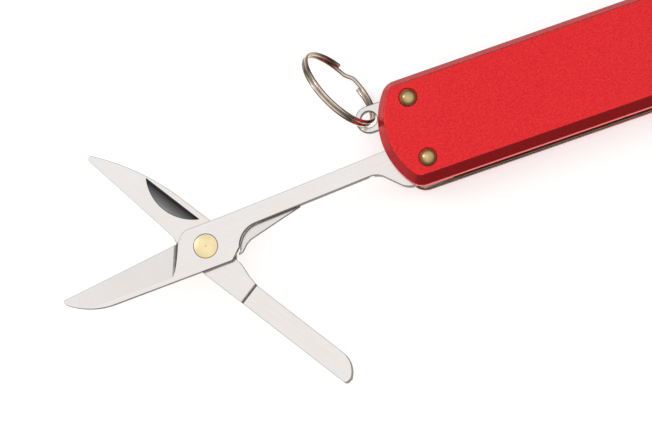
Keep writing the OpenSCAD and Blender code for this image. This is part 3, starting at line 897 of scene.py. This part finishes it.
def ring_point(degrees, side):
    """A place on the ring's round, offset to one side of its middle plane, in millimetres."""
    first = EYE - RING_CENTRE
    first = (first - RING_AXIS * first.dot(RING_AXIS)).normalized()
    second = RING_AXIS.cross(first)
    a = math.radians(degrees)
    return (RING_CENTRE + RING_R * (math.cos(a) * first + math.sin(a) * second)
            + RING_AXIS * side)


def ease(share):
    """A smooth step from 0 to 1."""
    share = min(1.0, max(0.0, share))
    return share * share * (3 - 2 * share)


def make_split_ring():
    """Two turns of wire that cross over between their cut ends; angles are in degrees."""
    crossing = 93.0
    half_cross = 7.5
    end_gap = 19
    side = 0.9792 * WIRE_R
    middle = 360 + crossing
    first_end = crossing + end_gap
    last_end = 720 + crossing - end_gap
    steps = 240
    points = []
    for i in range(steps + 1):
        angle = first_end + (last_end - first_end) * i / steps
        share = ease((angle - middle + half_cross) / (2 * half_cross))
        points.append(ring_point(angle, side * (1 - 2 * share)) * MM)
    wire = bpy.data.curves.new("key_ring", "CURVE")
    wire.dimensions = "3D"
    wire.bevel_depth = mm(WIRE_R)
    wire.bevel_resolution = 6
    wire.use_fill_caps = True
    spline = wire.splines.new("POLY")
    spline.points.add(len(points) - 1)
    for point, place in zip(spline.points, points):
        point.co = (*place, 1)
    ring = bpy.data.objects.new("key_ring", wire)
    bpy.context.scene.collection.objects.link(ring)
    pick(ring)
    bpy.ops.object.convert(target="MESH")
    ring = bpy.context.object
    face_outwards(ring)
    round_edges(ring, 0.05, 2, 60, smooth=50)
    wear(ring, wire_nickel)
    finish_piece(ring, "ring", "split_ring")


make_split_ring()


# ---------------------------------------------------------------- inner pieces kept from the frame

for node, finish in (
    ("scissors_bush", bronze), ("knife_bush", bronze), ("scissors_washers", bronze),
    ("knife_washers", bronze), ("spring_pegs", leaf_steel), ("lug_spacers", liner_steel),
):
    wear(frame["nodes"][node], finish)


# ---------------------------------------------------------------- floor, light and camera

let_go()
bpy.ops.mesh.primitive_plane_add(size=4, location=(mm(-54), mm(-9), mm(-DOME_HEIGHT - 0.02)))
floor = bpy.context.object
floor.name = "floor"
paper, paper_shader = new_material("pale_paper", (0.93, 0.93, 0.93), 0.0, 0.9)
paper_shader.inputs["Emission Color"].default_value = (1, 1, 1, 1)
paper_shader.inputs["Emission Strength"].default_value = 0.52
floor.data.materials.append(paper)
floor.visible_glossy = False

world = bpy.data.worlds.new("studio")
bpy.context.scene.world = world
world.use_nodes = True
sky = world.node_tree


def sky_range(low, high, most=1.0):
    """A value between low and high, spread over 0 to most."""
    node = sky.nodes.new("ShaderNodeMapRange")
    node.inputs["From Min"].default_value = low
    node.inputs["From Max"].default_value = high
    node.inputs["To Max"].default_value = most
    return node


# Brightness by height, and a glow low down on the left
direction = sky.nodes.new("ShaderNodeTexCoord")
split = sky.nodes.new("ShaderNodeSeparateXYZ")
spread = sky_range(-1, 1)
tent = sky.nodes.new("ShaderNodeValToRGB")
set_stops(tent, [
    (0.0, (1.5, 1.42, 1.35)), (0.08, (1.1, 1.0, 0.92)), (0.16, (0.42, 0.38, 0.36)),
    (0.30, (0.11, 0.10, 0.10)), (0.47, (0.04, 0.035, 0.03)), (0.62, (0.14, 0.13, 0.12)),
    (0.80, (0.66, 0.65, 0.64)), (1.0, (0.87, 0.86, 0.85)),
])
side_glow = sky_range(0.15, 0.65, 0.36)
low_glow = sky_range(0.12, -0.12)
left = sky.nodes.new("ShaderNodeVectorMath")
left.operation = "DOT_PRODUCT"
left.inputs[1].default_value = (-0.8, 0.6, 0)
both = sky.nodes.new("ShaderNodeMath")
both.operation = "MULTIPLY"
lit = sky.nodes.new("ShaderNodeMix")
lit.data_type = "RGBA"
lit.blend_type = "ADD"
lit.inputs[7].default_value = (1, 0.97, 0.95, 1)
background = sky.nodes["Background"]
for out, into in (
    (direction.outputs["Generated"], split.inputs["Vector"]),
    (split.outputs["Z"], spread.inputs["Value"]),
    (spread.outputs["Result"], tent.inputs["Fac"]),
    (direction.outputs["Generated"], left.inputs[0]),
    (left.outputs["Value"], side_glow.inputs["Value"]),
    (split.outputs["Z"], low_glow.inputs["Value"]),
    (side_glow.outputs["Result"], both.inputs[0]),
    (low_glow.outputs["Result"], both.inputs[1]),
    (both.outputs["Value"], lit.inputs["Factor"]),
    (tent.outputs["Color"], lit.inputs[6]),
    (lit.outputs[2], background.inputs["Color"]),
):
    sky.links.new(out, into)
background.inputs["Strength"].default_value = 1.0


def lamp(name, place, target, size, radiance):
    """A soft square lamp that looks at a target; radiance is its brightness."""
    light = bpy.data.lights.new(name, "AREA")
    light.shape = "SQUARE"
    light.size = size
    light.energy = radiance * math.pi * size * size
    holder = bpy.data.objects.new(name, light)
    bpy.context.scene.collection.objects.link(holder)
    holder.location = place
    holder.rotation_mode = "QUATERNION"
    holder.rotation_quaternion = (Vector(place) - Vector(target)).to_track_quat("Z", "Y")


middle = mm(-50, -6, 5)
lamp("overhead", (-0.09, 0.06, 0.36), middle, 0.26, 0.14)
lamp("key", (-0.21, 0.12, 0.20), middle, 0.07, 3.6)

# A long lens, leaning a little from straight above
toward = Vector((0.09, -0.19, 1)).normalized()
right = Vector((math.cos(ROLL), -math.sin(ROLL), 0))
right = (right - toward * right.dot(toward)).normalized()
upward = toward.cross(right)
aim = mm(-53.74, -8.84, 8.1)
camera_data = bpy.data.cameras.new("camera")
camera_data.sensor_width = SENSOR
camera_data.lens = LENS
camera_data.clip_start = 0.01
camera_data.clip_end = 10
camera = bpy.data.objects.new("camera", camera_data)
bpy.context.scene.collection.objects.link(camera)
stand = aim + toward * mm(VIEW_WIDTH * LENS / SENSOR)
turn = Matrix((right, upward, toward)).transposed().to_4x4()
camera.matrix_world = Matrix.Translation(stand) @ turn
bpy.context.scene.camera = camera

bpy.context.scene.view_settings.view_transform = "Standard"
bpy.context.scene.view_settings.look = "None"

let_go()
